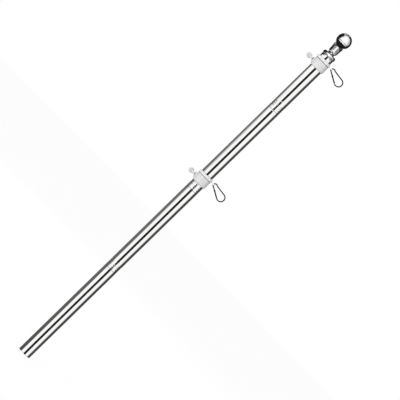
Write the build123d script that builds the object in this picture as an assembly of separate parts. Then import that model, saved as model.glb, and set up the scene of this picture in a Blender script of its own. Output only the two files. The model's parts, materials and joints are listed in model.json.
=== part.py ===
from build123d import *
import os
from math import asin, atan2, cos, degrees, hypot, radians, sin

# A sectional flagpole of polished steel tube with a ball finial and two swivel rings.
# Millimetres. +Z runs up the pole, and the origin is the centre of the foot's cut end.
# The clips point along +X. The thumbscrews point along -X, turned aside by screw_turn.

# Tube sections
tube_diameter = 25.4
tube_wall = 0.8
section_pitch = 200.5
foot_length = 214.5
top_section_length = 134.5
section_count = 4

# Screwed joints between the sections
seam_gap = 0.4
seam_chamfer = 0.4
mouth_chamfer = 0.25
spigot_fit = 0.15
spigot_length = 33.0
swage_length = 1.6
pilot_length = 7.5
thread_turns = 4
thread_pitch = 4.1
thread_depth = 0.5
socket_collar = 3.6
groove_turns = 3
groove_depth = 0.45
groove_radius = 1.3

# Finial
flange_diameter = 27.6
flange_height = 6.2
flange_round = 4.2
flange_edge = 0.5
plug_fit = 0.1
plug_length = 18.0
plug_chamfer = 0.4
waist_diameter = 13.4
waist_height = 2.9
neck_bottom_diameter = 17.2
neck_top_diameter = 20.4
neck_height = 18.2
neck_edge_round = 1.6
stud_diameter = 8.0
stud_length = 9.0
stud_fit = 0.1
ball_diameter = 28.4
ball_seat_diameter = 16.0
ball_seat_fit = 0.05

# Rings: free tube above the upper one, rise of the lower one over the second seam, moulded body
upper_ring_gap = 8.3
lower_ring_rise = 15.5
ring_bore_fit = 0.3
ring_diameter = 29.6
ring_body_height = 15.9
ring_lip_height = 0.9
ring_lip_step = 0.15
ring_edge = 0.5
journal_wall = 0.9
journal_height = 20.4
bead_height = 0.4
bead_step = 0.3

# Swivelling collar with its eye
collar_rim = 2.4
collar_thickness = 2.2
collar_bottom = 17.0
collar_radial_fit = 0.1
collar_end_fit = 0.05
collar_edge = 0.4
eye_reach = 20.0
eye_bore = 3.9
eye_diameter = 6.8
arm_width = 5.2
arm_root_round = 1.2

# Cap that keeps the collar on
cap_height = 2.35
cap_edge = 0.5
cap_glue_line = 0.05

# Boss, nut and thumbscrew
screw_turn = 15.0
boss_height = 7.9
boss_diameter = 9.2
boss_face = 17.0
boss_edge = 1.2
nut_across = 5.5
nut_length = 2.4
screw_diameter = 3.0
screw_fit = 0.05
screw_hole_fit = 0.3
screw_tip_gap = 0.1
screw_neck_gap = 1.5
screw_in_head = 5.6
head_diameter = 10.6
head_thickness = 2.6
head_reach = 25.8
head_edge = 0.6
head_rim = 1.3
head_dish = 0.35
hub_diameter = 4.6
hub_end_diameter = 3.6

# Snap clip: bent wire, gate and pivot pin
wire_diameter = 2.2
nose_bend = 3.0
hump_shift_out = 1.3
hump_shift_up = 0.7
hump_fall = 40.0
spine_length = 18.9
spine_droop = 6.75
wide_bend = 7.4
gate_slope = 28.9
gate_length = 16.2
gate_diameter = 2.5
gate_end_fit = 0.2
knob_diameter = 3.1
knob_length = 3.2
knob_edge = 0.25
tongue_thickness = 0.9
tongue_fit = 0.1
tongue_depth = 1.7
blade_length = 3.0
blade_end_fit = 0.1
pivot_pin_diameter = 0.9
pivot_pin_fit = 0.03
pivot_shoulder = 1.6
slot_bridge = 0.6

# Cutting tools stand this far out of what they cut
overcut = 1.0

# Radii and heights that follow from the sizes above
tube_radius = tube_diameter / 2
bore_radius = tube_radius - tube_wall
spigot_radius = bore_radius - spigot_fit
spigot_bore = spigot_radius - thread_depth - tube_wall
tube_top = foot_length + (section_count - 2) * section_pitch + top_section_length
flange_top = tube_top + flange_height
neck_bottom = flange_top + waist_height
neck_top = neck_bottom + neck_height
ball_radius = ball_diameter / 2
ball_height = neck_top + (ball_radius**2 - (ball_seat_diameter / 2) ** 2) ** 0.5
ring_bore = tube_radius + ring_bore_fit
ring_radius = ring_diameter / 2
journal_radius = ring_bore + journal_wall
collar_bore = journal_radius + collar_radial_fit
collar_radius = collar_bore + collar_rim
collar_middle = collar_bottom + collar_thickness / 2
cap_bottom = collar_bottom + collar_thickness + collar_end_fit
ring_height = cap_bottom + cap_height
lower_ring_height = foot_length + section_pitch + lower_ring_rise
upper_ring_height = tube_top - upper_ring_gap - ring_height
head_radius = head_diameter / 2
hub_start = boss_face + screw_neck_gap
wire_radius = wire_diameter / 2
hinge_reach = eye_reach + nose_bend
tongue_radius = tongue_depth / 2 + tongue_fit
slot_width = tongue_thickness + 2 * tongue_fit
gate_end = gate_length - gate_end_fit


def turned(points):
    """A solid turned about the Z axis from corners (radius, height)."""
    outline = Polyline(*[(r, 0, z) for r, z in points], close=True)
    return revolve(make_face(outline), Axis.Z, 360)


def rod(start, end, diameter):
    """A round rod between two points."""
    a = Vector(*start)
    b = Vector(*end)
    plane = Plane(origin=a, z_dir=b - a)
    return extrude(plane * Circle(diameter / 2), (b - a).length)


def circles_of(solid, radius):
    """The solid's circular edges of one radius, lowest first."""
    edges = solid.edges().filter_by(GeomType.CIRCLE)
    return edges.filter_by(lambda edge: abs(edge.radius - radius) < seam_gap / 10).sort_by(Axis.Z)


def seam_height(index):
    """Height of the seam above section number index, counted from 1 at the foot."""
    return foot_length + (index - 1) * section_pitch


def spigot_points(seam):
    """Corners of the swaged spigot above a seam, with its rolled thread ridges, up one side."""
    low = spigot_radius - thread_depth
    thread_start = seam + pilot_length
    thread_end = thread_start + thread_turns * thread_pitch
    quarter = thread_pitch / 4
    points = [(spigot_radius, seam - seam_gap), (spigot_radius, thread_start)]
    for turn in range(thread_turns):
        root = thread_start + turn * thread_pitch + quarter
        points += [
            (low, root),
            (low, root + quarter),
            (spigot_radius, root + 2 * quarter),
            (spigot_radius, root + 3 * quarter),
        ]
    points += [
        (low, thread_end + quarter),
        (low, seam + spigot_length),
        (spigot_bore, seam + spigot_length),
        (spigot_bore, seam - seam_gap),
        (bore_radius, seam - seam_gap - swage_length),
    ]
    return points


def rolled_groove(height):
    """Ring that presses one groove into the outside of the tube."""
    centre = tube_radius + groove_radius - groove_depth
    return revolve(Plane.XZ * Pos(centre, height) * Circle(groove_radius), Axis.Z, 360)


def pole_section(index):
    """One tube: a socket with rolled grooves below, and a spigot above except on the top one."""
    bottom = 0 if index == 1 else seam_height(index - 1)
    points = [
        (bore_radius, bottom),
        (tube_radius - mouth_chamfer, bottom),
        (tube_radius, bottom + mouth_chamfer),
    ]
    if index == section_count:
        points += [(tube_radius, tube_top), (bore_radius, tube_top)]
    else:
        shoulder = seam_height(index) - seam_gap
        points += [(tube_radius, shoulder - seam_chamfer), (tube_radius - seam_chamfer, shoulder)]
        points += spigot_points(seam_height(index))
    tube = turned(points)
    if index > 1:
        for turn in range(groove_turns):
            tube -= rolled_groove(bottom + socket_collar + (turn + 0.5) * thread_pitch)
    return tube


def finial_base():
    """Plug that fits in the tube, rounded flange on its end, and the stud for the neck."""
    plug_radius = bore_radius - plug_fit
    plug_end = tube_top - plug_length
    flange_radius = flange_diameter / 2
    waist_radius = waist_diameter / 2
    stud_radius = stud_diameter / 2
    body = turned(
        [
            (0, plug_end),
            (plug_radius - plug_chamfer, plug_end),
            (plug_radius, plug_end + plug_chamfer),
            (plug_radius, tube_top),
            (flange_radius, tube_top),
            (flange_radius, flange_top),
            (waist_radius, flange_top),
            (waist_radius, neck_bottom),
            (stud_radius, neck_bottom),
            (stud_radius, neck_bottom + stud_length),
            (0, neck_bottom + stud_length),
        ]
    )
    body = fillet(circles_of(body, flange_radius)[-1], flange_round)
    return fillet(circles_of(body, flange_radius)[0], flange_edge)


def finial_neck():
    """Tapered neck that screws on the stud and ends in a cup for the ball."""
    low = neck_bottom_diameter / 2
    high = neck_top_diameter / 2
    hole = stud_diameter / 2 + stud_fit
    hole_end = neck_bottom + stud_length + stud_fit
    neck = turned(
        [
            (0, hole_end),
            (hole, hole_end),
            (hole, neck_bottom),
            (low, neck_bottom),
            (high, neck_top),
            (0, neck_top),
        ]
    )
    neck = fillet([circles_of(neck, low)[0], circles_of(neck, high)[0]], neck_edge_round)
    return neck - Pos(0, 0, ball_height) * Sphere(ball_radius + ball_seat_fit)


def finial_ball():
    """Ball that sinks into the neck's cup as deep as its seat is wide."""
    return Pos(0, 0, ball_height) * Sphere(ball_radius)


def ring_sleeve():
    """Moulded sleeve round the pole: lip, journal for the collar, and the bead it turns on."""
    side = ring_radius - ring_lip_step
    bead_top = collar_bottom - collar_end_fit
    return turned(
        [
            (ring_bore, 0),
            (ring_radius, 0),
            (ring_radius, ring_lip_height),
            (side, ring_lip_height),
            (side, ring_body_height - ring_edge),
            (side - ring_edge, ring_body_height),
            (journal_radius, ring_body_height),
            (journal_radius, bead_top - bead_height),
            (journal_radius + bead_step, bead_top - bead_height),
            (journal_radius + bead_step, bead_top),
            (journal_radius, bead_top),
            (journal_radius, journal_height),
            (ring_bore, journal_height),
        ]
    )


def ring_body():
    """The sleeve with the boss that holds nut and screw."""
    root = (ring_bore + ring_radius) / 2
    boss = rod((-root, 0, boss_height), (-boss_face, 0, boss_height), boss_diameter)
    face = boss.edges().filter_by(GeomType.CIRCLE).sort_by(Axis.X)[0]
    body = ring_sleeve() + fillet(face, boss_edge)
    body -= Pos(0, 0, journal_height / 2) * Cylinder(ring_bore, 2 * journal_height)
    hole = screw_diameter + 2 * screw_hole_fit
    body -= rod((-ring_bore + overcut, 0, boss_height), (-boss_face - overcut, 0, boss_height), hole)
    return body - nut_blank()


def nut_blank():
    """The hexagonal space of the nut, opening at the boss's face."""
    plane = Plane(origin=(-boss_face + nut_length, 0, boss_height), x_dir=(0, 1, 0), z_dir=(-1, 0, 0))
    hexagon = RegularPolygon(nut_across / 2, 6, major_radius=False)
    return extrude(plane * hexagon, nut_length)


def ring_nut():
    """Hexagonal nut moulded into the boss."""
    bore = screw_diameter + 2 * screw_fit
    return nut_blank() - rod((-boss_face - overcut, 0, boss_height), (-ring_bore, 0, boss_height), bore)


def ring_cap():
    """Flat ring glued over the journal's end."""
    cup = journal_radius + cap_glue_line
    return turned(
        [
            (cup, cap_bottom),
            (ring_radius, cap_bottom),
            (ring_radius, ring_height - cap_edge),
            (ring_radius - cap_edge, ring_height),
            (ring_bore, ring_height),
            (ring_bore, journal_height),
            (cup, journal_height),
        ]
    )


def swivel_collar():
    """Thin disc that turns between body and cap, with an arm and an eye for the clip."""
    arm = Pos(eye_reach / 2, 0) * Rectangle(eye_reach, arm_width)
    plan = Circle(collar_radius) + arm + Pos(eye_reach, 0) * Circle(eye_diameter / 2)
    root_reach = (collar_radius**2 - (arm_width / 2) ** 2) ** 0.5
    roots = plan.vertices().filter_by(lambda v: abs(v.X - root_reach) < collar_end_fit)
    plan = fillet(roots, arm_root_round)
    collar = extrude(plan, collar_thickness / 2, both=True)
    faces = collar.faces().sort_by(Axis.Z)
    collar = chamfer(faces[0].outer_wire().edges() + faces[-1].outer_wire().edges(), collar_edge)
    collar -= Cylinder(collar_bore, 2 * collar_thickness)
    collar -= Pos(eye_reach, 0) * Cylinder(eye_bore / 2, 2 * collar_thickness)
    return Pos(0, 0, collar_middle) * collar


def screw_shank():
    """Plain metal shank from the pole's surface into the head."""
    tip = tube_radius + screw_tip_gap
    return rod((-tip, 0, boss_height), (-hub_start - screw_in_head, 0, boss_height), screw_diameter)


def screw_head():
    """Flat round grip with dished faces, moulded on the shank edge on to the ring."""
    face_on = Plane(origin=(-head_reach, 0, boss_height), z_dir=(0, 1, 0))
    coin = extrude(Circle(head_radius), head_thickness / 2, both=True)
    coin = fillet(coin.edges().filter_by(GeomType.CIRCLE), head_edge)
    dish = Cylinder(head_radius - head_rim, head_dish)
    depth = (head_thickness - head_dish) / 2
    coin -= Pos(0, 0, depth) * dish + Pos(0, 0, -depth) * dish
    along = Plane(origin=(-hub_start, 0, boss_height), z_dir=(-1, 0, 0))
    hub_length = screw_in_head + screw_diameter / 2
    hub = turned([(0, 0), (hub_diameter / 2, 0), (hub_end_diameter / 2, hub_length), (0, hub_length)])
    head = face_on * coin + along * hub
    return head - screw_shank()


def at_angle(centre, radius, angle):
    """The point on a circle in the clip's plane, angle in degrees from +X towards +Z."""
    return (centre[0] + radius * cos(radians(angle)), centre[1] + radius * sin(radians(angle)))


def clip_route():
    """Centre line of the bent wire, as named points in the clip's plane round its hinge."""
    hinge = (0, 0)
    hump = (hump_shift_out, hump_shift_up)
    lean = degrees(atan2(hump_shift_up, hump_shift_out)) + 90
    fall = 90 - hump_fall
    dip = at_angle(hump, 2 * nose_bend, fall)
    dip_end = 270 - spine_droop
    spine_start = at_angle(dip, nose_bend, dip_end)
    spine_end = at_angle(spine_start, spine_length, -spine_droop)
    wide = at_angle(spine_end, wide_bend, -90 - spine_droop)
    pivot_angle = -90 - gate_slope
    pivot = at_angle(wide, wide_bend, pivot_angle)
    nose = at_angle(pivot, gate_length, 180 - gate_slope)
    reach = hypot(*nose)
    leave = degrees(atan2(nose[1], nose[0])) - degrees(asin((reach**2 - nose_bend**2) ** 0.5 / reach))
    return {
        "nose": nose,
        "pivot": pivot,
        "leave": at_angle(hinge, nose_bend, leave),
        "hook_middle": at_angle(hinge, nose_bend, 180),
        "hook_end": at_angle(hinge, nose_bend, lean),
        "hump_start": at_angle(hump, nose_bend, lean),
        "hump_middle": at_angle(hump, nose_bend, (lean + fall) / 2),
        "hump_end": at_angle(hump, nose_bend, fall),
        "dip_middle": at_angle(dip, nose_bend, (fall + 180 + dip_end) / 2),
        "spine_start": spine_start,
        "spine_end": spine_end,
        "wide_middle": at_angle(wide, wide_bend, -gate_slope),
        "wide_end": at_angle(wide, wide_bend, pivot_angle + degrees(pivot_shoulder / wide_bend)),
    }


def in_clip(point):
    """A point of the clip's plane in the ring's frame."""
    return (hinge_reach + point[0], 0, collar_middle + point[1])


def gate_frame():
    """Frame of the gate: x from pivot to nose, y inwards, z along the pivot pin."""
    slope = radians(gate_slope)
    along = (-cos(slope), 0, sin(slope))
    return Plane(origin=in_clip(clip_route()["pivot"]), x_dir=along, z_dir=(0, 1, 0))


def bent_wire():
    """Round wire from the nose over the hinge bend, the hump, the spine and the wide end."""
    route = {name: in_clip(point) for name, point in clip_route().items()}
    path = Wire(
        [
            Edge.make_line(route["nose"], route["leave"]),
            Edge.make_three_point_arc(route["leave"], route["hook_middle"], route["hook_end"]),
            Edge.make_line(route["hook_end"], route["hump_start"]),
            Edge.make_three_point_arc(route["hump_start"], route["hump_middle"], route["hump_end"]),
            Edge.make_three_point_arc(route["hump_end"], route["dip_middle"], route["spine_start"]),
            Edge.make_line(route["spine_start"], route["spine_end"]),
            Edge.make_three_point_arc(route["spine_end"], route["wide_middle"], route["wide_end"]),
        ]
    )
    section = Plane(origin=path @ 0, z_dir=path % 0) * Circle(wire_radius)
    return sweep(section, path=path)


def clip_hook():
    """The bent wire with a blade for the knob's slot at its nose and a flat tongue at the pivot."""
    root = pivot_shoulder + wire_radius / 2
    tongue = Cylinder(tongue_radius, tongue_thickness)
    tongue += Pos(-root / 2, 0, 0) * Box(root, 2 * tongue_radius, tongue_thickness)
    reach = blade_length + wire_radius / 2
    middle = gate_length - blade_length + reach / 2
    blade = Pos(middle, 0, 0) * Box(reach, tongue_depth, tongue_thickness)
    hook = bent_wire() + gate_frame() * tongue + gate_frame() * blade
    return hook - gate_frame() * Cylinder(pivot_pin_diameter / 2, wire_diameter)


def gate_bar():
    """Round bar of the gate, rounded at the pivot, with the knob at its free end."""
    bar = extrude(Plane.YZ * Circle(gate_diameter / 2), gate_end) + Sphere(gate_diameter / 2)
    knob = extrude(Plane.YZ * Circle(knob_diameter / 2), knob_length)
    knob = chamfer(knob.edges().filter_by(GeomType.CIRCLE), knob_edge)
    return bar + Pos(gate_end - knob_length, 0, 0) * knob


def clip_gate():
    """The gate with a fork round the pivot tongue and a slot that closes on the nose's blade."""
    fork = gate_diameter + tongue_fit
    fork_middle = (fork - gate_diameter) / 2
    fork_slot = Pos(fork_middle, 0, 0) * Box(fork, gate_diameter + overcut, slot_width)
    depth = knob_diameter - slot_bridge
    room = blade_length + blade_end_fit
    knob_slot = Pos(gate_end - room / 2, (depth - knob_diameter) / 2, 0) * Box(room, depth, slot_width)
    pin_hole = Cylinder(pivot_pin_diameter / 2 + pivot_pin_fit, 2 * gate_diameter)
    return gate_frame() * (gate_bar() - fork_slot - knob_slot - pin_hole)


def clip_pin():
    """Pin riveted through fork and tongue."""
    return gate_frame() * Cylinder(pivot_pin_diameter / 2, gate_diameter - 2 * tongue_fit)


def pole_pieces():
    """Tube sections and finial by name."""
    pieces = {f"pole_section_{index}": pole_section(index) for index in range(1, section_count + 1)}
    pieces["finial_base"] = finial_base()
    pieces["finial_neck"] = finial_neck()
    pieces["finial_ball"] = finial_ball()
    return pieces


def ring_pieces():
    """One ring's pieces by name, with the ring's lower face at height 0."""
    aside = Rot(0, 0, screw_turn)
    return {
        "ring_body": aside * ring_body(),
        "ring_nut": aside * ring_nut(),
        "screw_shank": aside * screw_shank(),
        "screw_head": aside * screw_head(),
        "ring_cap": ring_cap(),
        "collar": swivel_collar(),
        "clip_hook": clip_hook(),
        "clip_gate": clip_gate(),
        "clip_pin": clip_pin(),
    }


def main():
    os.makedirs("parts", exist_ok=True)
    for name, piece in pole_pieces().items():
        export_step(piece, f"parts/{name}.step")
    for side, height in (("lower", lower_ring_height), ("upper", upper_ring_height)):
        for name, piece in ring_pieces().items():
            export_step(Pos(0, 0, height) * piece, f"parts/{side}_{name}.step")


main()
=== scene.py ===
import json
import math

import bmesh
import bpy
from bpy.props import FloatProperty, FloatVectorProperty, IntProperty, PointerProperty
from bpy.types import Operator, Panel, PropertyGroup
from mathutils import Matrix, Vector


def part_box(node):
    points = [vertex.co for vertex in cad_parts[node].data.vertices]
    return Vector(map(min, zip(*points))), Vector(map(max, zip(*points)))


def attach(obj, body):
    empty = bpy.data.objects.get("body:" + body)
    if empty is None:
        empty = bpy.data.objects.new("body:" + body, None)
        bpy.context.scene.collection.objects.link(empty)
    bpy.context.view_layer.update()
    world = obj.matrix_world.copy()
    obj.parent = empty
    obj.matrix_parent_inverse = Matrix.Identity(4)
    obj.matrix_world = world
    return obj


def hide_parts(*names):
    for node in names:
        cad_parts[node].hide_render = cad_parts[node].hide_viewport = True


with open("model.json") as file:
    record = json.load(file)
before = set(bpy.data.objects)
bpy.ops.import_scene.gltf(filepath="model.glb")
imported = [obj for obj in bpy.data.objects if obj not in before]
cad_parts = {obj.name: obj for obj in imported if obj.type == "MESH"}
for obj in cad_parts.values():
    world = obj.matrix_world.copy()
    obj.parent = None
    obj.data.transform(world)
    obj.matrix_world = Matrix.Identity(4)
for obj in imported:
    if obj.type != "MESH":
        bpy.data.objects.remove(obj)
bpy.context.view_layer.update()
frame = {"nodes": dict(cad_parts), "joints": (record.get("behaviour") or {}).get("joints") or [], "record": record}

bl_info = {
    "name": "Sectional Flagpole",
    "version": (1, 0, 0),
    "blender": (4, 5, 0),
    "location": "3D View > Sidebar > Flagpole",
    "description": "Dresses a screwed flagpole of polished tube with its swivel rings and clips",
    "category": "Add Mesh",
}

MM = 0.001
SIDES = ("lower", "upper")
JOINTS = {joint["name"]: joint for joint in frame["joints"]}
SLOTS = {part["node"]: part["material_slot"] for part in frame["record"]["subparts"]}
SECTIONS = sorted(name for name in frame["nodes"] if name.startswith("pole_section"))

# Edges sharper than this stay sharp in the shading
SHARP = math.radians(40)
# From a tube's corner to the point that guards its shading, and between the rows that take its rolled groove
TUBE_GUARD = 0.4 * MM
TUBE_ROWS = 0.25 * MM

# Studio cards, which glow and paint the dark and pale reflections on the metal; only reflections see them.
# Turns are degrees from the camera's side, and a light of 1 is the white of the background.
# The darkest cards' light, and the cards' height over the floor, which also parts light rows from dark ones
DARKEST = 0.015
CARD_LIFT = 0.2 * MM
# Painted dark reflections in bands at both sides of the tube: share of its height, turn of the inner edge, width
# of that edge's fade, and the light
LEFT_BAND = (
    (0.0, 60, 1, 0.08), (0.2, 63, 2, 0.12), (0.34, 66, 8, 0.13), (0.46, 68, 24, 0.14),
    (0.64, 75, 42, 0.14), (0.75, 80, 46, 0.15), (0.88, 91, 28, 0.12), (1.0, 97, 22, 0.12),
)
RIGHT_BAND = ((0.0, 76, 20, 0.06), (1.0, 81, 20, 0.06))
# Cards of the bands: name, side, band, turn of the outer edge, and turn of the inner edge beside the finial
SIDE_CARDS = (
    ("card_left", -1, LEFT_BAND, 155, 76),
    ("card_right", 1, RIGHT_BAND, 160, 100),
)
# Painted dark reflection in a line down the middle of the tube: turns of its middle at the foot and at the top,
# and half its width
MIDDLE_TURNS = (9.6, -3.5)
MIDDLE_HALF = 18.5
# Painted pale reflections in stripes that break the line over each seam: rise over the seam and height, in
# millimetres
STRIPES = (
    ((2.4, 1.1), (5.6, 1.1), (8.8, 1.2)),
    ((2.0, 1.1), (6.2, 1.0), (10.2, 5.0)),
    ((-2.0, 2.6), (10.8, 1.2)),
)
# Dark hood over the ball that paints its dark reflection: roll from the left over the top, turns where its grey
# inner fade starts and ends, the grey's light, turn of the dark's edge, and the dark's light. The dark ends at the
# same turn all round.
HOOD = (
    (-6, 52, 66, 0.5, 69, 0.015), (45, 52, 66, 0.5, 69, 0.015), (48, 62, 74, 0.7, 78, 0.33),
    (75, 70, 80, 0.9, 84, 0.33), (78, 70, 80, 0.9, 86, 0.08), (87, 70, 80, 0.9, 86, 0.08),
    (88, 70, 80, 0.9, 86, 0.55), (92, 70, 80, 0.9, 86, 0.55), (94, 70, 80, 0.9, 88, 0.1),
    (110, 60, 78, 0.75, 92, 0.03), (150, 50, 72, 0.5, 98, 0.015), (186, 50, 72, 0.5, 98, 0.015),
)
HOOD_END = 156
# Painted grey reflections in patches at both sides of the neck's white middle, and painted dark reflections in
# bands
# at its top and bottom: share of its height, turns of the edges, and the light
LEFT_PATCH = (
    (0.05, 50, 66, 0.9), (0.25, 32, 66, 0.5), (0.4, 20, 66, 0.3), (0.75, 20, 66, 0.3), (0.8, 25, 66, 0.4),
)
RIGHT_PATCH = (
    (0.05, 45, 94, 0.6), (0.25, 32, 94, 0.4), (0.4, 26, 96, 0.28), (0.75, 26, 96, 0.28), (0.8, 30, 96, 0.4),
)
NECK_TOP = ((0.805, -150, 96, 0.4), (0.84, -150, 96, 0.02), (1.06, -150, 96, 0.015))
NECK_BOTTOM = ((0.01, -150, 94, 0.1), (0.14, -150, 94, 0.1))
# The neck's taper sends mirrored rays down by this slope, and its middle radius is this share of the widest
NECK_SLOPE = 0.177
NECK_MIDDLE = 0.92
# Fades of its cards to white before their first edge and to dark after the last, and the turn where they end
NECK_FADES = (5, 3)
NECK_END = 150
# Painted highlight of the key lamp, which reflections don't see: the lamp's box as a glowing card, left and right,
# bottom and top, distance in front, and light
SHINE = ((-1.3, 0.1), (0.75, 2.2), 2.5, 2.5)

# Lamps: name, place, size, and power in watts. They aim at the pole's middle.
LAMPS = (
    ("key", (-0.75, -2.5, 1.5), 1.6, 37),
    ("back", (-0.5, 2.4, 1.4), 1.6, 30),
    ("top", (0.1, -0.2, 2.6), 1.2, 14),
)
LAMP_AIM = (0, 0, 0.5)
# Strength of the sky as light, and the floor's share of plain white. The rest is paper and keeps the shadows.
SKY_LIGHT = 0.45
FLOOR_WHITE = 0.96


def linear(hex_colour):
    """Linear red, green and blue of an sRGB hex colour."""
    channels = [int(hex_colour[i : i + 2], 16) / 255 for i in (0, 2, 4)]
    return tuple(c / 12.92 if c <= 0.04045 else ((c + 0.055) / 1.055) ** 2.4 for c in channels)


def length(name, description, default):
    """A length in metres that the panel shows."""
    return FloatProperty(name=name, description=description, default=default, unit="LENGTH", precision=5)


def angle(name, description, degrees):
    """An angle that the panel shows in degrees."""
    return FloatProperty(name=name, description=description, default=math.radians(degrees), subtype="ANGLE")


def colour(name, description, hex_colour):
    """A colour that the panel shows, from its sRGB hex value."""
    values = linear(hex_colour)
    return FloatVectorProperty(name=name, description=description, default=values, subtype="COLOR", size=3)


class TubeSizes(PropertyGroup):
    """Sizes of the tube sections and of their rolled joints."""

    wall: length("Wall", "Thickness of the tube's wall", 0.8 * MM)
    seam: length("Seam", "Gap between a section's shoulder and the next one's mouth", 0.4 * MM)
    fit: length("Spigot fit", "Radial gap between a spigot and the socket round it", 0.15 * MM)
    swage: length("Swage", "Length over which a section narrows to its spigot", 1.6 * MM)
    mouth_round: length("Mouth round", "Rounding of a section's cut edges", 0.25 * MM)
    collar: length("Plain collar", "Plain tube between a section's mouth and its thread", 2.6 * MM)
    pitch: length("Thread pitch", "Rise of the rolled thread in one turn", 4.1 * MM)
    depth: length("Thread depth", "How far the rolled thread is pressed in", 0.45 * MM)
    groove: length("Groove width", "Width of the rolled groove", 2.4 * MM)
    turns: FloatProperty(name="Thread turns", description="Turns of the rolled thread", default=3.4)
    segments: IntProperty(name="Segments", description="Faces round the tube", default=128)


class ScrewSizes(PropertyGroup):
    """Sizes of the thumbscrews."""

    thread: length("Thread diameter", "Outside diameter of the screw's thread", 3.0 * MM)
    pitch: length("Thread pitch", "Rise of the screw's thread in one turn", 0.5 * MM)
    depth: length("Thread depth", "Depth of the screw's thread", 0.28 * MM)
    coin_place: length("Coin place", "From the boss's face to the middle of the coin", 8.8 * MM)
    coin_thickness: length("Coin thickness", "Thickness of the coin between its dished faces", 1.9 * MM)
    coin_field: length("Coin field", "Radius of the dished field with the pips", 3.5 * MM)
    pip: length("Pip", "Radius of one grip pip", 0.42 * MM)
    pip_spacing: length("Pip spacing", "From one pip to the next", 1.25 * MM)
    segments: IntProperty(name="Segments", description="Faces round the screw", default=48)


class FinishColours(PropertyGroup):
    """Colours of the finishes."""

    steel: colour("Tube steel", "Polished stainless steel of the tube", "FAFAF9")
    chrome: colour("Finial chrome", "Bright plating of the finial", "FBFBFB")
    plastic: colour("Sleeve plastic", "Moulded plastic of sleeves and screw heads", "DEDEDE")
    acetal: colour("Collar plastic", "Moulded plastic of the collars and their caps", "F6F6F6")
    black: colour("Clip black", "Black plating of the clips", "2B2C30")
    brass: colour("Nut brass", "Nickel-plated brass of the moulded-in nuts", "98938A")
    zinc: colour("Screw zinc", "Zinc plating of screws and pivot pins", "D5D7DA")


class StudioSettings(PropertyGroup):
    """Camera and distances of the studio's cards."""

    distance: length("Camera distance", "From the camera to the middle of the picture", 6.0)
    climb: angle("Camera elevation", "Height of the camera over the view's middle", 2.5)
    slant: angle("Pole's slant", "Angle of the pole over the picture's lower edge", 44.28)
    scale: length("Picture scale", "Real length shown by one pixel at the pole", 1.7635 * MM)
    card_radius: length("Card distance", "From the pole to the dark side cards", 0.35)
    slot_radius: length("Slot distance", "From the pole to the narrow card in front of it", 0.05)
    hood_radius: length("Hood distance", "From the ball to the dark hood over it", 0.33)
    patch_radius: length("Patch distance", "From the neck to the cards for its sides and top", 0.09)
    edge_radius: length("Edge distance", "From the neck to the card for its lower edge", 0.069)


def add_node(tree, kind, inputs=None, **settings):
    """A new node with its settings. Its inputs are values, sockets, or nodes whose first output is meant."""
    node = tree.nodes.new(kind)
    for name, value in settings.items():
        setattr(node, name, value)
    for name, value in (inputs or {}).items():
        if isinstance(value, bpy.types.Node):
            value = next(socket for socket in value.outputs if socket.enabled)
        if isinstance(value, bpy.types.NodeSocket):
            tree.links.new(value, node.inputs[name])
        else:
            node.inputs[name].default_value = value
    return node


def new_material(name):
    """An empty node material and its tree."""
    material = bpy.data.materials.new(name)
    material.use_nodes = True
    material.node_tree.nodes.clear()
    return material, material.node_tree


def rgba(values):
    """A colour with full alpha."""
    return (*values, 1.0)


def uneven(tree, place, size, low, high):
    """A value that wanders between low and high, in patches of this size in millimetres."""
    noise = add_node(tree, "ShaderNodeTexNoise", {"Vector": place, "Scale": 1 / (size * MM), "Detail": 3.0})
    # Nearly all of a noise lies between 0.3 and 0.7
    ranges = {"Value": noise, "From Min": 0.3, "From Max": 0.7, "To Min": low, "To Max": high}
    return add_node(tree, "ShaderNodeMapRange", ranges)


def grain(tree, place, size, strength, depth):
    """Normals of a noise with grains of this size and depth in millimetres."""
    noise = add_node(tree, "ShaderNodeTexNoise", {"Vector": place, "Scale": 1 / (size * MM), "Detail": 2.0})
    return add_node(tree, "ShaderNodeBump", {"Height": noise, "Strength": strength, "Distance": depth * MM})


def grimed(tree, tint, reach, closed, wide, dark, unshaded_share=1.0):
    """Painted shade: a tint that falls to a dark share in corners and gaps narrower than the reach in millimetres.
    """
    # The colour darkens where ambient occlusion finds little open sky: painted shade
    open_sky = add_node(tree, "ShaderNodeAmbientOcclusion", {"Distance": reach * MM}, samples=8)
    ranges = {"From Min": closed, "From Max": wide, "To Min": dark, "To Max": unshaded_share}
    share = add_node(tree, "ShaderNodeMapRange", {"Value": open_sky.outputs["AO"], **ranges})
    mixed = {"Factor": share, "A": (0.0, 0.0, 0.0, 1.0), "B": rgba(tint)}
    return add_node(tree, "ShaderNodeMix", mixed, data_type="RGBA")


def finish(tree, inputs):
    """The Principled shader on the material's output."""
    shader = add_node(tree, "ShaderNodeBsdfPrincipled", inputs)
    add_node(tree, "ShaderNodeOutputMaterial", {"Surface": shader})


def polished_stainless_tube(colours):
    """Drawn stainless tube, polished on a belt: sharp reflections, faint lines round it, and painted shade in its
    joints.
    """
    material, tree = new_material("polished_stainless_tube")
    place = add_node(tree, "ShaderNodeTexCoord").outputs["Object"]
    # Belt lines, 25 mm long. Real ones are about 0.02 mm apart, and are drawn at 0.25 mm so that they show.
    line_length = 25
    line_spacing = 0.25
    squeezed = (1, 1, line_length / line_spacing)
    round_lines = add_node(tree, "ShaderNodeMapping", {"Vector": place, "Scale": squeezed})
    normals = grain(tree, round_lines, line_length, 0.04, 0.02)
    rough = uneven(tree, place, 22, 0.05, 0.10)
    # Painted shade: the steel goes dark in the seams and rolled grooves that ambient occlusion finds
    steel = grimed(tree, colours.steel, 1.6, 0.5, 0.85, 0.05)
    finish(tree, {"Base Color": steel, "Metallic": 1.0, "Roughness": rough, "Normal": normals})
    return material


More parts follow.
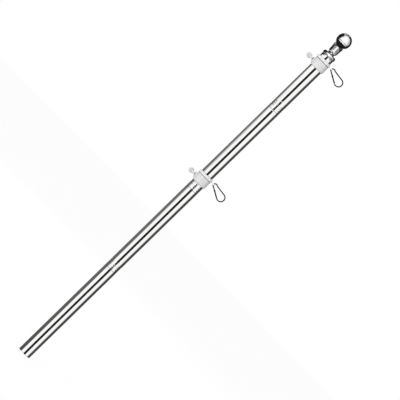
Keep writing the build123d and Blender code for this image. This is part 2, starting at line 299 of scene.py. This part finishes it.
def bright_chrome_plate(colours):
    """Decorative chrome on a smooth moulding: a mirror with a slow ripple, and painted shade in its grooves."""
    material, tree = new_material("bright_chrome_plate")
    place = add_node(tree, "ShaderNodeTexCoord").outputs["Object"]
    normals = grain(tree, place, 4.5, 0.03, 0.05)
    rough = uneven(tree, place, 17, 0.03, 0.06)
    # Painted shade: the chrome goes dark in its grooves and where it meets other pieces
    chrome = grimed(tree, colours.chrome, 4.0, 0.45, 0.85, 0.02)
    finish(tree, {"Base Color": chrome, "Metallic": 1.0, "Roughness": rough, "Normal": normals})
    return material


def moulded(name, tint, smoothest, roughest, index):
    """A moulded plastic with a spark-eroded grain, slight mottling, and painted shade in narrow gaps."""
    material, tree = new_material(name)
    place = add_node(tree, "ShaderNodeTexCoord").outputs["Object"]
    mottle = uneven(tree, place, 8, 0.97, 1.0)
    # Painted shade: the plastic goes nearly black in narrow gaps, such as the one under the collar; the mottle is
    # its own uneven tone
    shade = grimed(tree, tint, 2.0, 0.45, 0.7, 0.03, mottle)
    # Real spark-eroded grain is about 0.05 mm wide, and is drawn at 0.4 mm so that it shows
    normals = grain(tree, place, 0.4, 0.08, 0.02)
    rough = uneven(tree, place, 8, smoothest, roughest)
    finish(tree, {"Base Color": shade, "Roughness": rough, "IOR": index, "Normal": normals})
    return material


def moulded_white_abs(colours):
    """Injection-moulded ABS of the sleeves and screw heads: off-white with a satin sheen."""
    return moulded("moulded_white_abs", colours.plastic, 0.34, 0.44, 1.54)


def moulded_white_acetal(colours):
    """Injection-moulded acetal of the turning collars and their caps: whiter, with a waxy sheen."""
    return moulded("moulded_white_acetal", colours.acetal, 0.28, 0.36, 1.48)


def black_nickel_wire(colours):
    """Drawn spring wire plated in black nickel: dark, glossy, with faint drawing marks."""
    material, tree = new_material("black_nickel_wire")
    place = add_node(tree, "ShaderNodeTexCoord").outputs["Object"]
    # Real drawing marks are about 0.1 mm wide, and are drawn at 1.4 mm so that they show
    normals = grain(tree, place, 1.4, 0.05, 0.03)
    rough = uneven(tree, place, 1.4, 0.16, 0.28)
    finish(tree, {"Base Color": rgba(colours.black), "Metallic": 1.0, "Roughness": rough, "Normal": normals})
    return material


def nickel_plated_brass(colours):
    """Turned brass nut with thin nickel plate: warm grey metal with fine tool marks."""
    material, tree = new_material("nickel_plated_brass")
    place = add_node(tree, "ShaderNodeTexCoord").outputs["Object"]
    # Real tool marks are about 0.1 mm apart, and are drawn at 0.7 mm so that they show
    rough = uneven(tree, place, 0.7, 0.22, 0.34)
    finish(tree, {"Base Color": rgba(colours.brass), "Metallic": 1.0, "Roughness": rough})
    return material


def zinc_plated_steel(colours):
    """Bright zinc plate on steel: pale bluish metal, cloudy in patches of a few millimetres."""
    material, tree = new_material("zinc_plated_steel")
    place = add_node(tree, "ShaderNodeTexCoord").outputs["Object"]
    rough = uneven(tree, place, 2, 0.18, 0.32)
    finish(tree, {"Base Color": rgba(colours.zinc), "Metallic": 1.0, "Roughness": rough})
    return material


FINISHES = {
    "polished_steel": polished_stainless_tube,
    "chrome_plate": bright_chrome_plate,
    "white_plastic": moulded_white_abs,
    "black_plate": black_nickel_wire,
    "brass_insert": nickel_plated_brass,
    "zinc_steel": zinc_plated_steel,
}


def finish_of(node):
    """The material of a node, made once. Collars and caps are of a whiter plastic than their slot's."""
    turning = node.endswith(("_collar", "_ring_cap"))
    kind = moulded_white_acetal if turning else FINISHES[SLOTS[node]]
    return bpy.data.materials.get(kind.__name__) or kind(bpy.context.scene.finish_colours)


def mesh_object(name, mesh):
    """An object with the mesh, in the scene."""
    obj = bpy.data.objects.new(name, mesh)
    bpy.context.scene.collection.objects.link(obj)
    return obj


def new_tree(name, **inputs):
    """A Geometry Nodes tree with a start geometry and named inputs, and the sockets of its inputs."""
    tree = bpy.data.node_groups.new(name, "GeometryNodeTree")
    tree.interface.new_socket("Start", in_out="INPUT", socket_type="NodeSocketGeometry")
    for label, kind in inputs.items():
        tree.interface.new_socket(label.replace("_", " "), in_out="INPUT", socket_type=f"NodeSocket{kind}")
    tree.interface.new_socket("Material", in_out="INPUT", socket_type="NodeSocketMaterial")
    tree.interface.new_socket("Result", in_out="OUTPUT", socket_type="NodeSocketGeometry")
    return tree, add_node(tree, "NodeGroupInput").outputs


def end_tree(tree, shape, material):
    """Real geometry with the material, on the tree's output."""
    real = add_node(tree, "GeometryNodeRealizeInstances", {"Geometry": shape})
    finished = add_node(tree, "GeometryNodeSetMaterial", {"Geometry": real, "Material": material})
    add_node(tree, "NodeGroupOutput", {"Result": finished})
    return tree


def turning_tree():
    """Turns an outline of points (radius, 0, height) about the Z axis."""
    tree, given = new_tree("turned_outline", Columns="Int", Segments="Int")
    count = add_node(tree, "GeometryNodeAttributeDomainSize", {"Geometry": given["Start"]})
    rows = add_node(tree, "ShaderNodeMath", {0: given["Segments"], 1: 1.0}, operation="ADD")
    grid = add_node(tree, "GeometryNodeMeshGrid", {"Vertices X": given["Columns"], "Vertices Y": rows})
    index = add_node(tree, "GeometryNodeInputIndex")
    share = add_node(tree, "ShaderNodeMath", {0: index, 1: rows}, operation="DIVIDE")
    column = add_node(tree, "ShaderNodeMath", {0: share}, operation="FLOOR")
    step = add_node(tree, "ShaderNodeMath", {0: index, 1: rows}, operation="MODULO")
    source = add_node(tree, "ShaderNodeMath", {0: column, 1: count}, operation="MODULO")
    place = add_node(tree, "GeometryNodeInputPosition")
    sampled = {"Geometry": given["Start"], "Value": place, "Index": source}
    picked = add_node(tree, "GeometryNodeSampleIndex", sampled, data_type="FLOAT_VECTOR")
    turn = add_node(tree, "ShaderNodeMath", {0: step, 1: given["Segments"]}, operation="DIVIDE")
    turned = add_node(tree, "ShaderNodeMath", {0: turn, 1: 2 * math.pi}, operation="MULTIPLY")
    about_z = {"Vector": picked, "Angle": turned}
    moved = add_node(tree, "ShaderNodeVectorRotate", about_z, rotation_type="Z_AXIS")
    shape = add_node(tree, "GeometryNodeSetPosition", {"Geometry": grid.outputs["Mesh"], "Position": moved})
    seam = 0.0005 * MM
    closed = add_node(tree, "GeometryNodeMergeByDistance", {"Geometry": shape, "Distance": seam})
    return end_tree(tree, closed, given["Material"])


def rolling_tree():
    """Presses a helical groove into a turned piece."""
    tree, given = new_tree(
        "rolled_grooves", Bottom="Float", Pitch="Float", Depth="Float", Width="Float", Turns="Float"
    )
    place = add_node(tree, "GeometryNodeInputPosition")
    xyz = add_node(tree, "ShaderNodeSeparateXYZ", {"Vector": place})
    across = {0: xyz.outputs["Y"], 1: xyz.outputs["X"]}
    bearing = add_node(tree, "ShaderNodeMath", across, operation="ARCTAN2")
    turn = add_node(tree, "ShaderNodeMath", {0: bearing, 1: 2 * math.pi}, operation="DIVIDE")
    height = add_node(tree, "ShaderNodeMath", {0: xyz.outputs["Z"], 1: given["Bottom"]}, operation="SUBTRACT")
    rise = add_node(tree, "ShaderNodeMath", {0: height, 1: given["Pitch"]}, operation="DIVIDE")
    phase = add_node(tree, "ShaderNodeMath", {0: rise, 1: turn}, operation="SUBTRACT")
    part = add_node(tree, "ShaderNodeMath", {0: phase}, operation="FRACT")
    aside = add_node(tree, "ShaderNodeMath", {0: part, 1: 0.5}, operation="SUBTRACT")
    off = add_node(tree, "ShaderNodeMath", {0: aside}, operation="ABSOLUTE")
    gap = add_node(tree, "ShaderNodeMath", {0: off, 1: given["Pitch"]}, operation="MULTIPLY")
    half = add_node(tree, "ShaderNodeMath", {0: given["Width"], 1: 0.5}, operation="MULTIPLY")
    # Share of a turn in which the groove fades out at both ends
    run_out = 0.4
    last = add_node(tree, "ShaderNodeMath", {0: given["Turns"], 1: run_out}, operation="SUBTRACT")
    pressed = given["Depth"]
    for value, start, end, high, low in (
        (gap, 0.0, half, 1.0, 0.0),
        (rise, 0.0, run_out, 0.0, 1.0),
        (rise, last, given["Turns"], 1.0, 0.0),
    ):
        ranges = {"Value": value, "From Min": start, "From Max": end, "To Min": high, "To Max": low}
        fade = add_node(tree, "ShaderNodeMapRange", ranges, interpolation_type="SMOOTHSTEP")
        pressed = add_node(tree, "ShaderNodeMath", {0: pressed, 1: fade}, operation="MULTIPLY")
    flat = add_node(tree, "ShaderNodeCombineXYZ", {"X": xyz.outputs["X"], "Y": xyz.outputs["Y"]})
    outward = add_node(tree, "ShaderNodeVectorMath", {0: flat}, operation="NORMALIZE")
    inward = add_node(tree, "ShaderNodeMath", {0: pressed, 1: -1.0}, operation="MULTIPLY")
    offset = add_node(tree, "ShaderNodeVectorMath", {0: outward, "Scale": inward}, operation="SCALE")
    shape = add_node(tree, "GeometryNodeSetPosition", {"Geometry": given["Start"], "Offset": offset})
    return end_tree(tree, shape, given["Material"])


def pips_tree():
    """Rows of low domes on a round field in the XY plane."""
    tree, given = new_tree("grip_pips", Field="Float", Radius="Float", Spacing="Float")
    wide = add_node(tree, "ShaderNodeMath", {0: given["Field"], 1: 2.0}, operation="MULTIPLY")
    share = add_node(tree, "ShaderNodeMath", {0: wide, 1: given["Spacing"]}, operation="DIVIDE")
    half = add_node(tree, "ShaderNodeMath", {0: share, 1: 0.5}, operation="MULTIPLY")
    whole = add_node(tree, "ShaderNodeMath", {0: half}, operation="FLOOR")
    across = add_node(tree, "ShaderNodeMath", {0: whole, 1: 2.0, 2: 1.0}, operation="MULTIPLY_ADD")
    span = add_node(tree, "ShaderNodeMath", {0: whole, 1: given["Spacing"]}, operation="MULTIPLY")
    size = add_node(tree, "ShaderNodeMath", {0: span, 1: 2.0}, operation="MULTIPLY")
    sides = {"Size X": size, "Size Y": size, "Vertices X": across, "Vertices Y": across}
    grid = add_node(tree, "GeometryNodeMeshGrid", sides)
    place = add_node(tree, "GeometryNodeInputPosition")
    reach = add_node(tree, "ShaderNodeVectorMath", {0: place}, operation="LENGTH")
    edge = add_node(tree, "ShaderNodeMath", {0: given["Field"], 1: given["Radius"]}, operation="SUBTRACT")
    compared = {0: reach.outputs["Value"], 1: edge}
    outside = add_node(tree, "FunctionNodeCompare", compared, data_type="FLOAT", operation="GREATER_THAN")
    left_out = {"Geometry": grid.outputs["Mesh"], "Selection": outside}
    field = add_node(tree, "GeometryNodeDeleteGeometry", left_out, domain="POINT")
    dome = add_node(tree, "GeometryNodeMeshIcoSphere", {"Radius": given["Radius"], "Subdivisions": 3})
    flattened = (1.0, 1.0, 0.55)
    placed = {"Points": field, "Instance": dome.outputs["Mesh"], "Scale": flattened}
    pips = add_node(tree, "GeometryNodeInstanceOnPoints", placed)
    return end_tree(tree, pips, given["Material"])


TREES = {"turned_outline": turning_tree, "rolled_grooves": rolling_tree, "grip_pips": pips_tree}


def grown(name, start, steps, material):
    """An object with the plain mesh that the named trees make, one after another, from a start mesh."""
    obj = mesh_object(name, start)
    for kind, inputs in steps:
        tree = bpy.data.node_groups.get(kind) or TREES[kind]()
        modifier = obj.modifiers.new(kind, "NODES")
        modifier.node_group = tree
        keys = {item.name: item.identifier for item in tree.interface.items_tree if item.in_out == "INPUT"}
        for label, value in {**inputs, "Material": material}.items():
            modifier[keys[label]] = value
    evaluated = obj.evaluated_get(bpy.context.evaluated_depsgraph_get())
    plain = bpy.data.meshes.new_from_object(evaluated)
    obj.modifiers.clear()
    obj.data = plain
    plain.shade_smooth()
    outwards(plain)
    plain.set_sharp_from_angle(angle=SHARP)
    return obj


def outwards(mesh):
    """Turns the faces of a closed mesh outwards."""
    built = bmesh.new()
    built.from_mesh(mesh)
    bmesh.ops.recalc_face_normals(built, faces=built.faces)
    built.to_mesh(mesh)
    built.free()


def arc_points(before, corner, after, radius, steps=5):
    """Points of the round that replaces a corner between two others."""
    corner = Vector(corner)
    one = (Vector(before) - corner).normalized()
    two = (Vector(after) - corner).normalized()
    half = one.angle(two) / 2
    centre = corner + (one + two).normalized() * radius / math.sin(half)
    first = corner + one * radius / math.tan(half) - centre
    last = corner + two * radius / math.tan(half) - centre
    return [centre + first.lerp(last, i / steps).normalized() * radius for i in range(steps + 1)]


def rounded(corners, closed):
    """Outline points from corners (radius, height, round), with each round as an arc."""
    points = []
    for i, (r, z, edge) in enumerate(corners):
        inner = closed or 0 < i < len(corners) - 1
        if edge and inner:
            points += arc_points(corners[i - 1][:2], (r, z), corners[(i + 1) % len(corners)][:2], edge)
        else:
            points.append(Vector((r, z)))
    return points


def heights(low, high, step):
    """Heights from low to high, a step apart."""
    return [low + step * i for i in range(int((high - low) / step) + 1)]


def guarded(points, closed, guard, rows=()):
    """The outline with a point near both ends of each long run, and one at each of the given heights."""
    result = []
    pairs = list(zip(points, points[1:] + points[:1])) if closed else list(zip(points, points[1:]))
    for a, b in pairs:
        run = (b - a).length
        stops = [0.0]
        if run > 4 * guard:
            stops += [guard / run, 1 - guard / run]
        if b.y != a.y:
            shares = [(height - a.y) / (b.y - a.y) for height in rows]
            stops += [share for share in shares if guard / run < share < 1 - guard / run]
        result += [a.lerp(b, stop) for stop in sorted(stops)]
    return result if closed else result + [points[-1]]


def outline_mesh(name, points):
    """A mesh of loose points (radius, 0, height)."""
    mesh = bpy.data.meshes.new(name)
    mesh.from_pydata([(p.x, 0, p.y) for p in points], [], [])
    return mesh


def stand_for(obj, node, body):
    """A new piece takes a node's body, and the node is hidden."""
    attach(obj, body)
    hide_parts(node)


class FLAGPOLE_OT_tubes(Operator):
    """Make the tube sections with their rolled threads"""

    bl_idname = "flagpole.tubes"
    bl_label = "Tube sections"

    def execute(self, context):
        sizes = context.scene.tube_sizes
        for index, node in enumerate(SECTIONS):
            self.section(index, node, sizes)
        return {"FINISHED"}

    def section(self, index, node, sizes):
        """One tube: socket with a rolled thread below, spigot with the matching thread above."""
        low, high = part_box(node)
        last = index == len(SECTIONS) - 1
        outside = high[0]
        bore = outside - sizes.wall
        edge = sizes.mouth_round
        corners = [(bore, low[2], edge), (outside, low[2], edge)]
        mouths = [] if index == 0 else [low[2]]
        if last:
            corners += [(outside, high[2], edge), (bore, high[2], edge)]
        else:
            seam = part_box(SECTIONS[index + 1])[0][2]
            shoulder = seam - sizes.seam
            spigot = bore - sizes.fit
            inside = spigot - sizes.wall
            mouths.append(seam)
            corners += [
                (outside, shoulder, edge), (spigot, shoulder, edge),
                (spigot, high[2], edge), (inside, high[2], edge),
                (inside, shoulder, edge), (bore, shoulder - sizes.swage, edge),
            ]
        points = rounded(corners, True)
        steps = []
        for mouth in mouths:
            bottom = mouth + sizes.collar
            rows = heights(bottom, bottom + sizes.turns * sizes.pitch, TUBE_ROWS)
            points = guarded(points, True, TUBE_GUARD, rows)
            steps.append(("rolled_grooves", {
                "Bottom": bottom, "Pitch": sizes.pitch, "Depth": sizes.depth, "Width": sizes.groove,
                "Turns": sizes.turns,
            }))
        turned = ("turned_outline", {"Columns": len(points) + 1, "Segments": sizes.segments})
        tube = grown(f"{node}_tube", outline_mesh(node, points), [turned, *steps], finish_of(node))
        stand_for(tube, node, "pole")


def screw_frame(side):
    """Frame of a thumbscrew: origin at the boss's face, Z outwards along the screw, X level."""
    joint = JOINTS[f"{side}_thumbscrew_turn"]
    axis = Vector(joint["axis"]).normalized()
    up = Vector((0, 0, 1))
    turn = Matrix((up.cross(axis).normalized(), up, axis)).transposed().to_4x4()
    return Matrix.Translation(joint["pos_m"]) @ turn


class FLAGPOLE_OT_screws(Operator):
    """Make the thumbscrews' threads and the pips on their heads"""

    bl_idname = "flagpole.screws"
    bl_label = "Thumbscrews"

    def execute(self, context):
        sizes = context.scene.screw_sizes
        for side in SIDES:
            self.shank(side, sizes)
            self.pips(side, sizes)
        return {"FINISHED"}

    def shank(self, side, sizes):
        """Threaded rod in the place of the plain shank."""
        node = f"{side}_screw_shank"
        place = screw_frame(side)
        along = [(place.inverted() @ point.co).z for point in frame["nodes"][node].data.vertices]
        low, high = min(along), max(along)
        radius = sizes.thread / 2
        edge = sizes.depth
        corners = [(0, low, 0), (radius, low, edge), (radius, high, edge), (0, high, 0)]
        guard = 0.1 * MM
        rows_a_turn = 8
        groove_share = 0.85
        rows = heights(low, high, sizes.pitch / rows_a_turn)
        points = guarded(rounded(corners, False), False, guard, rows)
        turned = ("turned_outline", {"Columns": len(points), "Segments": sizes.segments})
        rolled = ("rolled_grooves", {
            "Bottom": low, "Pitch": sizes.pitch, "Depth": sizes.depth, "Width": sizes.pitch * groove_share,
            "Turns": (high - low) / sizes.pitch,
        })
        shank = grown(f"{node}_thread", outline_mesh(node, points), [turned, rolled], finish_of(node))
        shank.data.transform(place)
        stand_for(shank, node, f"{side}_thumbscrew")

    def pips(self, side, sizes):
        """Grip pips in the dished faces of the coin."""
        node = f"{side}_screw_head"
        inputs = {"Field": sizes.coin_field, "Radius": sizes.pip, "Spacing": sizes.pip_spacing}
        for face in (-1, 1):
            name = f"{node}_pips_{'front' if face < 0 else 'back'}"
            pips = grown(name, bpy.data.meshes.new(name), [("grip_pips", inputs)], finish_of(node))
            stand = Matrix.Rotation(math.pi / 2, 4, "Y")
            lift = Matrix.Translation((face * sizes.coin_thickness / 2, 0, sizes.coin_place))
            pips.data.transform(screw_frame(side) @ lift @ stand)
            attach(pips, f"{side}_thumbscrew")


class FLAGPOLE_OT_finishes(Operator):
    """Give every piece of the frame its finish"""

    bl_idname = "flagpole.finishes"
    bl_label = "Dress the frame"

    def execute(self, context):
        for node, obj in frame["nodes"].items():
            obj.data.materials.clear()
            obj.data.materials.append(finish_of(node))
        return {"FINISHED"}


def seen_directly(tree):
    """1 for camera, glossy and transmission rays, and 0 for all others."""
    path = add_node(tree, "ShaderNodeLightPath").outputs
    seen = path["Is Camera Ray"]
    for kind in ("Is Glossy Ray", "Is Transmission Ray"):
        seen = add_node(tree, "ShaderNodeMath", {0: seen, 1: path[kind]}, operation="MAXIMUM")
    return seen


def pale_floor_paper():
    """White background paper that keeps part of the shadows."""
    material, tree = new_material("pale_floor_paper")
    paper = add_node(tree, "ShaderNodeBsdfDiffuse", {"Color": rgba(linear("F8F8F8"))})
    glow = add_node(tree, "ShaderNodeEmission", {"Color": (1, 1, 1, 1), "Strength": 1.0})
    share = add_node(tree, "ShaderNodeMath", {0: seen_directly(tree), 1: FLOOR_WHITE}, operation="MULTIPLY")
    mix = add_node(tree, "ShaderNodeMixShader", {0: share, 1: paper, 2: glow})
    add_node(tree, "ShaderNodeOutputMaterial", {"Surface": mix})
    return material


def painted_reflection_board():
    """Glowing card that only reflections see, for painted reflections, with its light in an attribute of its
    points.
    """
    material, tree = new_material("painted_reflection_board")
    material.cycles.emission_sampling = "NONE"
    # It glows but lights nothing: it only paints reflections
    light = add_node(tree, "ShaderNodeAttribute", attribute_name="light").outputs["Fac"]
    glow = add_node(tree, "ShaderNodeEmission", {"Color": (1, 1, 1, 1), "Strength": light})
    add_node(tree, "ShaderNodeOutputMaterial", {"Surface": glow})
    return material


def reflection_card(name, rows):
    """A glowing card through rows of (point, light), seen by reflections only: a painted reflection."""
    wide = len(rows[0])
    flat = [spot for row in rows for spot in row]
    starts = [k for k in range(len(flat) - wide) if (k + 1) % wide]
    faces = [(k, k + 1, k + 1 + wide, k + wide) for k in starts]
    mesh = bpy.data.meshes.new(name)
    mesh.from_pydata([point for point, light in flat], [], faces)
    lights = mesh.attributes.new("light", "FLOAT", "POINT")
    lights.data.foreach_set("value", [light for point, light in flat])
    mesh.materials.append(bpy.data.materials.get("painted_reflection_board") or painted_reflection_board())
    obj = mesh_object(name, mesh)
    obj.visible_camera = False
    obj.visible_diffuse = False
    obj.visible_shadow = False
    obj.visible_transmission = False


def spread(stops, parts=8):
    """Rows of numbers, with even steps between them."""
    steps = []
    for low, high in zip(stops, stops[1:]):
        steps += [[a + (b - a) * i / parts for a, b in zip(low, high)] for i in range(parts)]
    return steps + [list(stops[-1])]


class RoundMirror:
    """The camera's rays after a round surface has mirrored them, on their way to a card round it.

    The radius is the surface's, the reach is the card's, and the distance is the camera's, all from the
    surface's axis. The tilt is a slope that the surface gives the rays.
    """

    def __init__(self, radius, reach, distance, tilt=0.0):
        self.radius = radius
        self.reach = reach
        self.distance = distance
        self.tilt = tilt
        self.eye = bpy.context.scene.camera.matrix_world.translation.z

    def run(self, turn):
        """Length of a ray from the surface to the reach from its axis."""
        half = math.radians(turn) / 2
        return math.sqrt(self.reach**2 - (self.radius * math.sin(half)) ** 2) - self.radius * math.cos(half)

    def aside(self, turn, run):
        """Places to the side and to the front of the axis, after a run."""
        half = math.radians(turn) / 2
        side = self.radius * math.sin(half) + run * math.sin(2 * half)
        return side, self.radius * math.cos(half) + run * math.cos(2 * half)

    def meets(self, turn, height):
        """Where a ray from this height of the surface meets the card, or the floor before it."""
        drop = (self.eye - height) / self.distance + self.tilt
        run = self.run(turn)
        if drop > 0:
            run = min(run, (height + CARD_LIFT) / drop)
        side, front = self.aside(turn, run)
        return (side, -front, height - run * drop)

    def row(self, height, stops, side=1, parts=8):
        """Card points, each with its light, for what one height mirrors on the right (1) or left (-1)."""
        return [(self.meets(side * turn, height), light) for turn, light in spread(stops, parts)]


def soft_lamp(name, place, size, power):
    """A square lamp that aims at the pole and isn't mirrored."""
    data = bpy.data.lights.new(name, "AREA")
    data.shape = "SQUARE"
    data.size = size
    data.energy = power
    lamp = bpy.data.objects.new(name, data)
    bpy.context.scene.collection.objects.link(lamp)
    lamp.location = place
    lamp.rotation_euler = (Vector(LAMP_AIM) - Vector(place)).to_track_quat("-Z", "Y").to_euler()
    lamp.visible_glossy = False


class FLAGPOLE_OT_stage(Operator):
    """Set the camera, the floor, the reflection cards and the lamps"""

    bl_idname = "flagpole.stage"
    bl_label = "Set the stage"

    def execute(self, context):
        studio = context.scene.studio_settings
        self.camera(context, studio)
        self.world(context)
        self.floor()
        self.cards(studio)
        for lamp in LAMPS:
            soft_lamp(*lamp)
        return {"FINISHED"}

    def camera(self, context, studio):
        """Looks at the pole side on, rolled so that the pole runs up to the right."""
        # Pixels of the picture's sides, and of the middle of the pole's foot from its left and top
        image = 400
        foot = (23.5, 353.7)
        to_centre = (image / 2 - foot[0], foot[1] - image / 2)
        cosine = math.cos(studio.slant)
        sine = math.sin(studio.slant)
        along = (to_centre[0] * cosine + to_centre[1] * sine) * studio.scale
        aside = (to_centre[0] * sine - to_centre[1] * cosine) * studio.scale
        target = Vector((aside, 0, along))
        back = Vector((0, -math.cos(studio.climb), math.sin(studio.climb)))
        level = Vector((1, 0, 0))
        upright = back.cross(level)
        right = sine * level + cosine * upright
        up = -cosine * level + sine * upright
        data = bpy.data.cameras.new("camera")
        data.lens = data.sensor_width * studio.distance / (image * studio.scale)
        camera = bpy.data.objects.new("camera", data)
        context.scene.collection.objects.link(camera)
        turn = Matrix((right, up, back)).transposed().to_4x4()
        camera.matrix_world = Matrix.Translation(target + studio.distance * back) @ turn
        context.scene.camera = camera

    def world(self, context):
        """White where it is seen, and a plain grey sky as light."""
        world = bpy.data.worlds.new("studio")
        world.use_nodes = True
        tree = world.node_tree
        tree.nodes.clear()
        white = add_node(tree, "ShaderNodeBackground", {"Color": (1, 1, 1, 1), "Strength": 1.0})
        sky = add_node(tree, "ShaderNodeBackground", {"Color": (1, 1, 1, 1), "Strength": SKY_LIGHT})
        mix = add_node(tree, "ShaderNodeMixShader", {0: seen_directly(tree), 1: sky, 2: white})
        add_node(tree, "ShaderNodeOutputWorld", {"Surface": mix})
        context.scene.world = world

    def floor(self):
        """Round sheet of paper just under the pole's foot, out to the camera."""
        mesh = bpy.data.meshes.new("floor")
        built = bmesh.new()
        below_foot = 0.5 * MM
        bmesh.ops.create_circle(built, cap_ends=True, segments=96, radius=6.0)
        bmesh.ops.translate(built, verts=built.verts, vec=(0, 0, -below_foot))
        built.to_mesh(mesh)
        built.free()
        mesh.materials.append(pale_floor_paper())
        mesh_object("floor", mesh)

    def side_band(self, mirror, name, side, levels, outer, finial_edge):
        """Card that paints a dark reflection in a band at one side of the tube, and at the same side of the finial
        over it.
        """
        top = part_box(SECTIONS[-1])[1][2]
        rows = []
        for share, edge, fade, light in spread(levels):
            stops = [(edge - fade / 2, 1.0), (edge + fade / 2, light), (outer, light)]
            rows.append(mirror.row(share * top - CARD_LIFT, stops, side))
        stops = [(finial_edge, 1.0), (finial_edge + 1, DARKEST), (outer, DARKEST)]
        for height in (top + CARD_LIFT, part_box("finial_ball")[1][2]):
            rows.append(mirror.row(height, stops, side))
        reflection_card(name, rows)

    def middle_line(self, mirror):
        """Narrow card that paints a dark reflection down the middle, with painted pale stripes at the rolled
        threads.
        """
        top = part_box(SECTIONS[-1])[1][2]
        marks = [(0.0, DARKEST)]
        for section, stripes in zip(SECTIONS[1:], STRIPES):
            for rise, wide in stripes:
                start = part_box(section)[0][2] + rise * MM
                end = start + wide * MM
                marks += [(start - CARD_LIFT, DARKEST), (start, 1.0), (end, 1.0), (end + CARD_LIFT, DARKEST)]
        marks.append((top, DARKEST))
        at_foot, at_top = MIDDLE_TURNS
        rows = []
        for height, light in marks:
            middle = at_foot + (at_top - at_foot) * height / top
            rows.append(mirror.row(height, [(middle - MIDDLE_HALF, light), (middle + MIDDLE_HALF, light)]))
        reflection_card("card_middle_line", rows)

    def hood(self, studio):
        """Dark hood that paints the ball's reflection, with grey fades inside and a pale gap at the top."""
        low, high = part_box("finial_ball")
        centre = Vector((0, 0, (low[2] + high[2]) / 2))
        mirror = RoundMirror((high[2] - low[2]) / 2, studio.hood_radius, studio.distance)
        rows = []
        for roll, start, end, grey, edge, dark in spread(HOOD, parts=6):
            across = Vector((-math.cos(math.radians(roll)), 0, math.sin(math.radians(roll))))
            stops = [(start, 1.0), (end, grey), (edge, grey), (edge + 1, dark), (HOOD_END, dark)]
            row = []
            for turn, light in spread(stops):
                side, front = mirror.aside(turn, mirror.run(turn))
                row.append((centre + across * side - Vector((0, front, 0)), light))
            rows.append(row)
        reflection_card("card_hood", rows)

    def under_ball(self):
        """Dark ring that paints the ball's lower side dark in reflection, narrower in front, with a wide wing
        behind and a low skirt.
        """
        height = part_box("finial_neck")[1][2] + 0.6 * MM
        inner = 9.2 * MM
        outer = 21.4 * MM
        narrower = 3 * MM
        wing = 125 * MM
        skirt = 3.6 * MM
        rows = [[], [], []]
        for turn in range(-180, 181, 2):
            away = math.radians(turn)
            in_front = -70 < turn < 92
            reach = outer - narrower * max(0.0, math.cos(away)) ** 4 if in_front else wing
            for row, radius, drop in zip(rows, (inner, reach, reach), (0, 0, skirt)):
                row.append(((radius * math.sin(away), -radius * math.cos(away), height - drop), DARKEST))
        reflection_card("card_under_ball", rows)

    def neck_cards(self, studio):
        """Cards that paint grey reflections in patches at both sides of the neck's white middle, and dark ones in
        bands at its ends.
        """
        low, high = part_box("finial_neck")
        before, after = NECK_FADES
        for name, side, reach, levels in (
            ("card_patch_left", -1, studio.patch_radius, LEFT_PATCH),
            ("card_patch_right", 1, studio.patch_radius, RIGHT_PATCH),
            ("card_neck_top", 1, studio.patch_radius, NECK_TOP),
            ("card_neck_bottom", 1, studio.edge_radius, NECK_BOTTOM),
        ):
            mirror = RoundMirror(high[0] * NECK_MIDDLE, reach, studio.distance, NECK_SLOPE)
            rows = []
            for share, start, end, light in spread(levels, parts=3):
                height = low[2] + share * (high[2] - low[2])
                stops = [
                    (start - before, 1.0), (start, light), (end, light),
                    (end + after, DARKEST), (NECK_END, DARKEST),
                ]
                rows.append(mirror.row(height, stops, side, parts=48))
            reflection_card(name, rows)

    def cards(self, studio):
        """Cards that paint the reflected lines on the tube, the rims and patches of the finial, and the key lamp's
        highlight.
        """
        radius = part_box(SECTIONS[-1])[1][0]
        mirror = RoundMirror(radius, studio.card_radius, studio.distance)
        for card in SIDE_CARDS:
            self.side_band(mirror, *card)
        self.middle_line(RoundMirror(radius, studio.slot_radius, studio.distance))
        self.hood(studio)
        self.under_ball()
        self.neck_cards(studio)
        sides, ends, ahead, light = SHINE
        # A glowing card paints the key lamp's highlight in the reflections
        reflection_card("card_key_shine", [[((x, -ahead, z), light) for x in sides] for z in ends])


class FLAGPOLE_PT_panel(Panel):
    """The flagpole's pieces and stage"""

    bl_label = "Flagpole"
    bl_idname = "FLAGPOLE_PT_panel"
    bl_space_type = "VIEW_3D"
    bl_region_type = "UI"
    bl_category = "Flagpole"

    def draw(self, context):
        for operator in OPERATORS:
            self.layout.operator(operator.bl_idname)


OPERATORS = (FLAGPOLE_OT_finishes, FLAGPOLE_OT_tubes, FLAGPOLE_OT_screws, FLAGPOLE_OT_stage)
GROUPS = {
    "tube_sizes": TubeSizes,
    "screw_sizes": ScrewSizes,
    "finish_colours": FinishColours,
    "studio_settings": StudioSettings,
}
CLASSES = (*GROUPS.values(), *OPERATORS, FLAGPOLE_PT_panel)


def register():
    for cls in CLASSES:
        bpy.utils.register_class(cls)
    for name, group in GROUPS.items():
        setattr(bpy.types.Scene, name, PointerProperty(type=group))


def unregister():
    for name in GROUPS:
        delattr(bpy.types.Scene, name)
    for cls in reversed(CLASSES):
        bpy.utils.unregister_class(cls)


def main():
    register()
    bpy.context.scene.view_settings.view_transform = "Standard"
    bpy.ops.flagpole.finishes()
    bpy.ops.flagpole.tubes()
    bpy.ops.flagpole.screws()
    bpy.ops.flagpole.stage()


if __name__ == "__main__":
    main()
